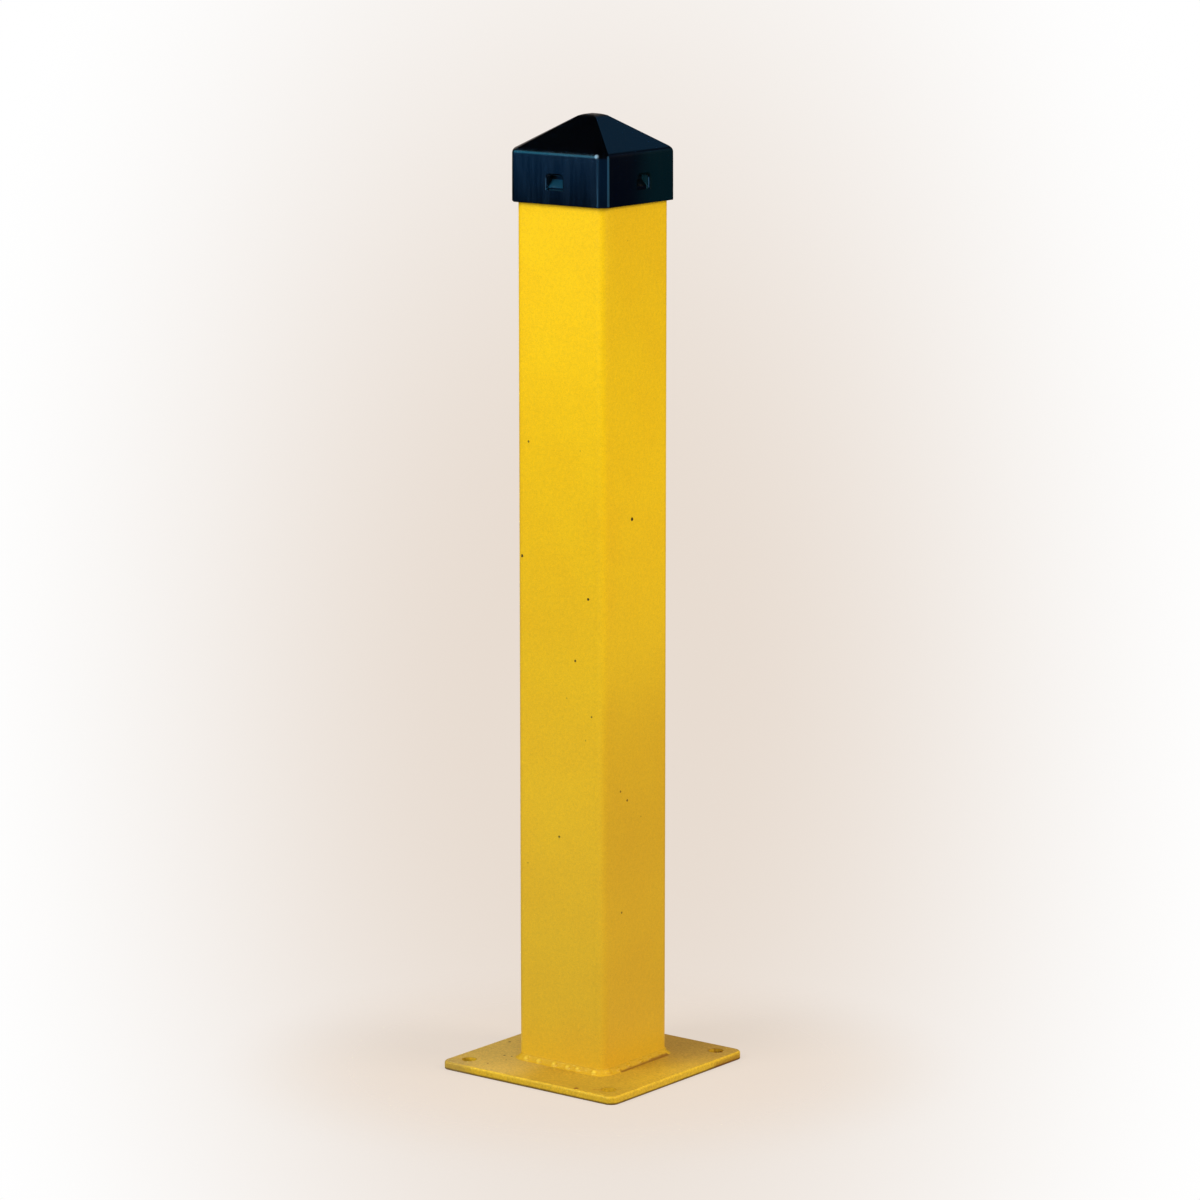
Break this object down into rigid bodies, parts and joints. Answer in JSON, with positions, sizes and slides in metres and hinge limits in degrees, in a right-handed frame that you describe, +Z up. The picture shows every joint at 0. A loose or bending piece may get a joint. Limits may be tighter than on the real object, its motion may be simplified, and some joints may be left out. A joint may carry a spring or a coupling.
{
  "type": "square bollard",
  "caption": "Square steel guard post on a bolt-down base plate, with a moulded pyramid cap, that shields machines, racking and walls from vehicles.",
  "frame": {"origin": "middle of the base plate's underside, at floor level", "axes": "+Z up the post; +X and +Y square to its faces"},
  "size_m": [0.2032, 0.2032, 0.8922],
  "materials": {
    "yellow_powder_coat": "semi-gloss safety yellow powder coat over steel, with small chips and rust marks",
    "black_plastic": "black moulded plastic with a soft sheen"
  },
  "bodies": {
    "root": {"base_plate": "yellow_powder_coat", "post_tube": "yellow_powder_coat", "weld_bead": "yellow_powder_coat", "post_cap": "black_plastic"}
  },
  "joints": []
}
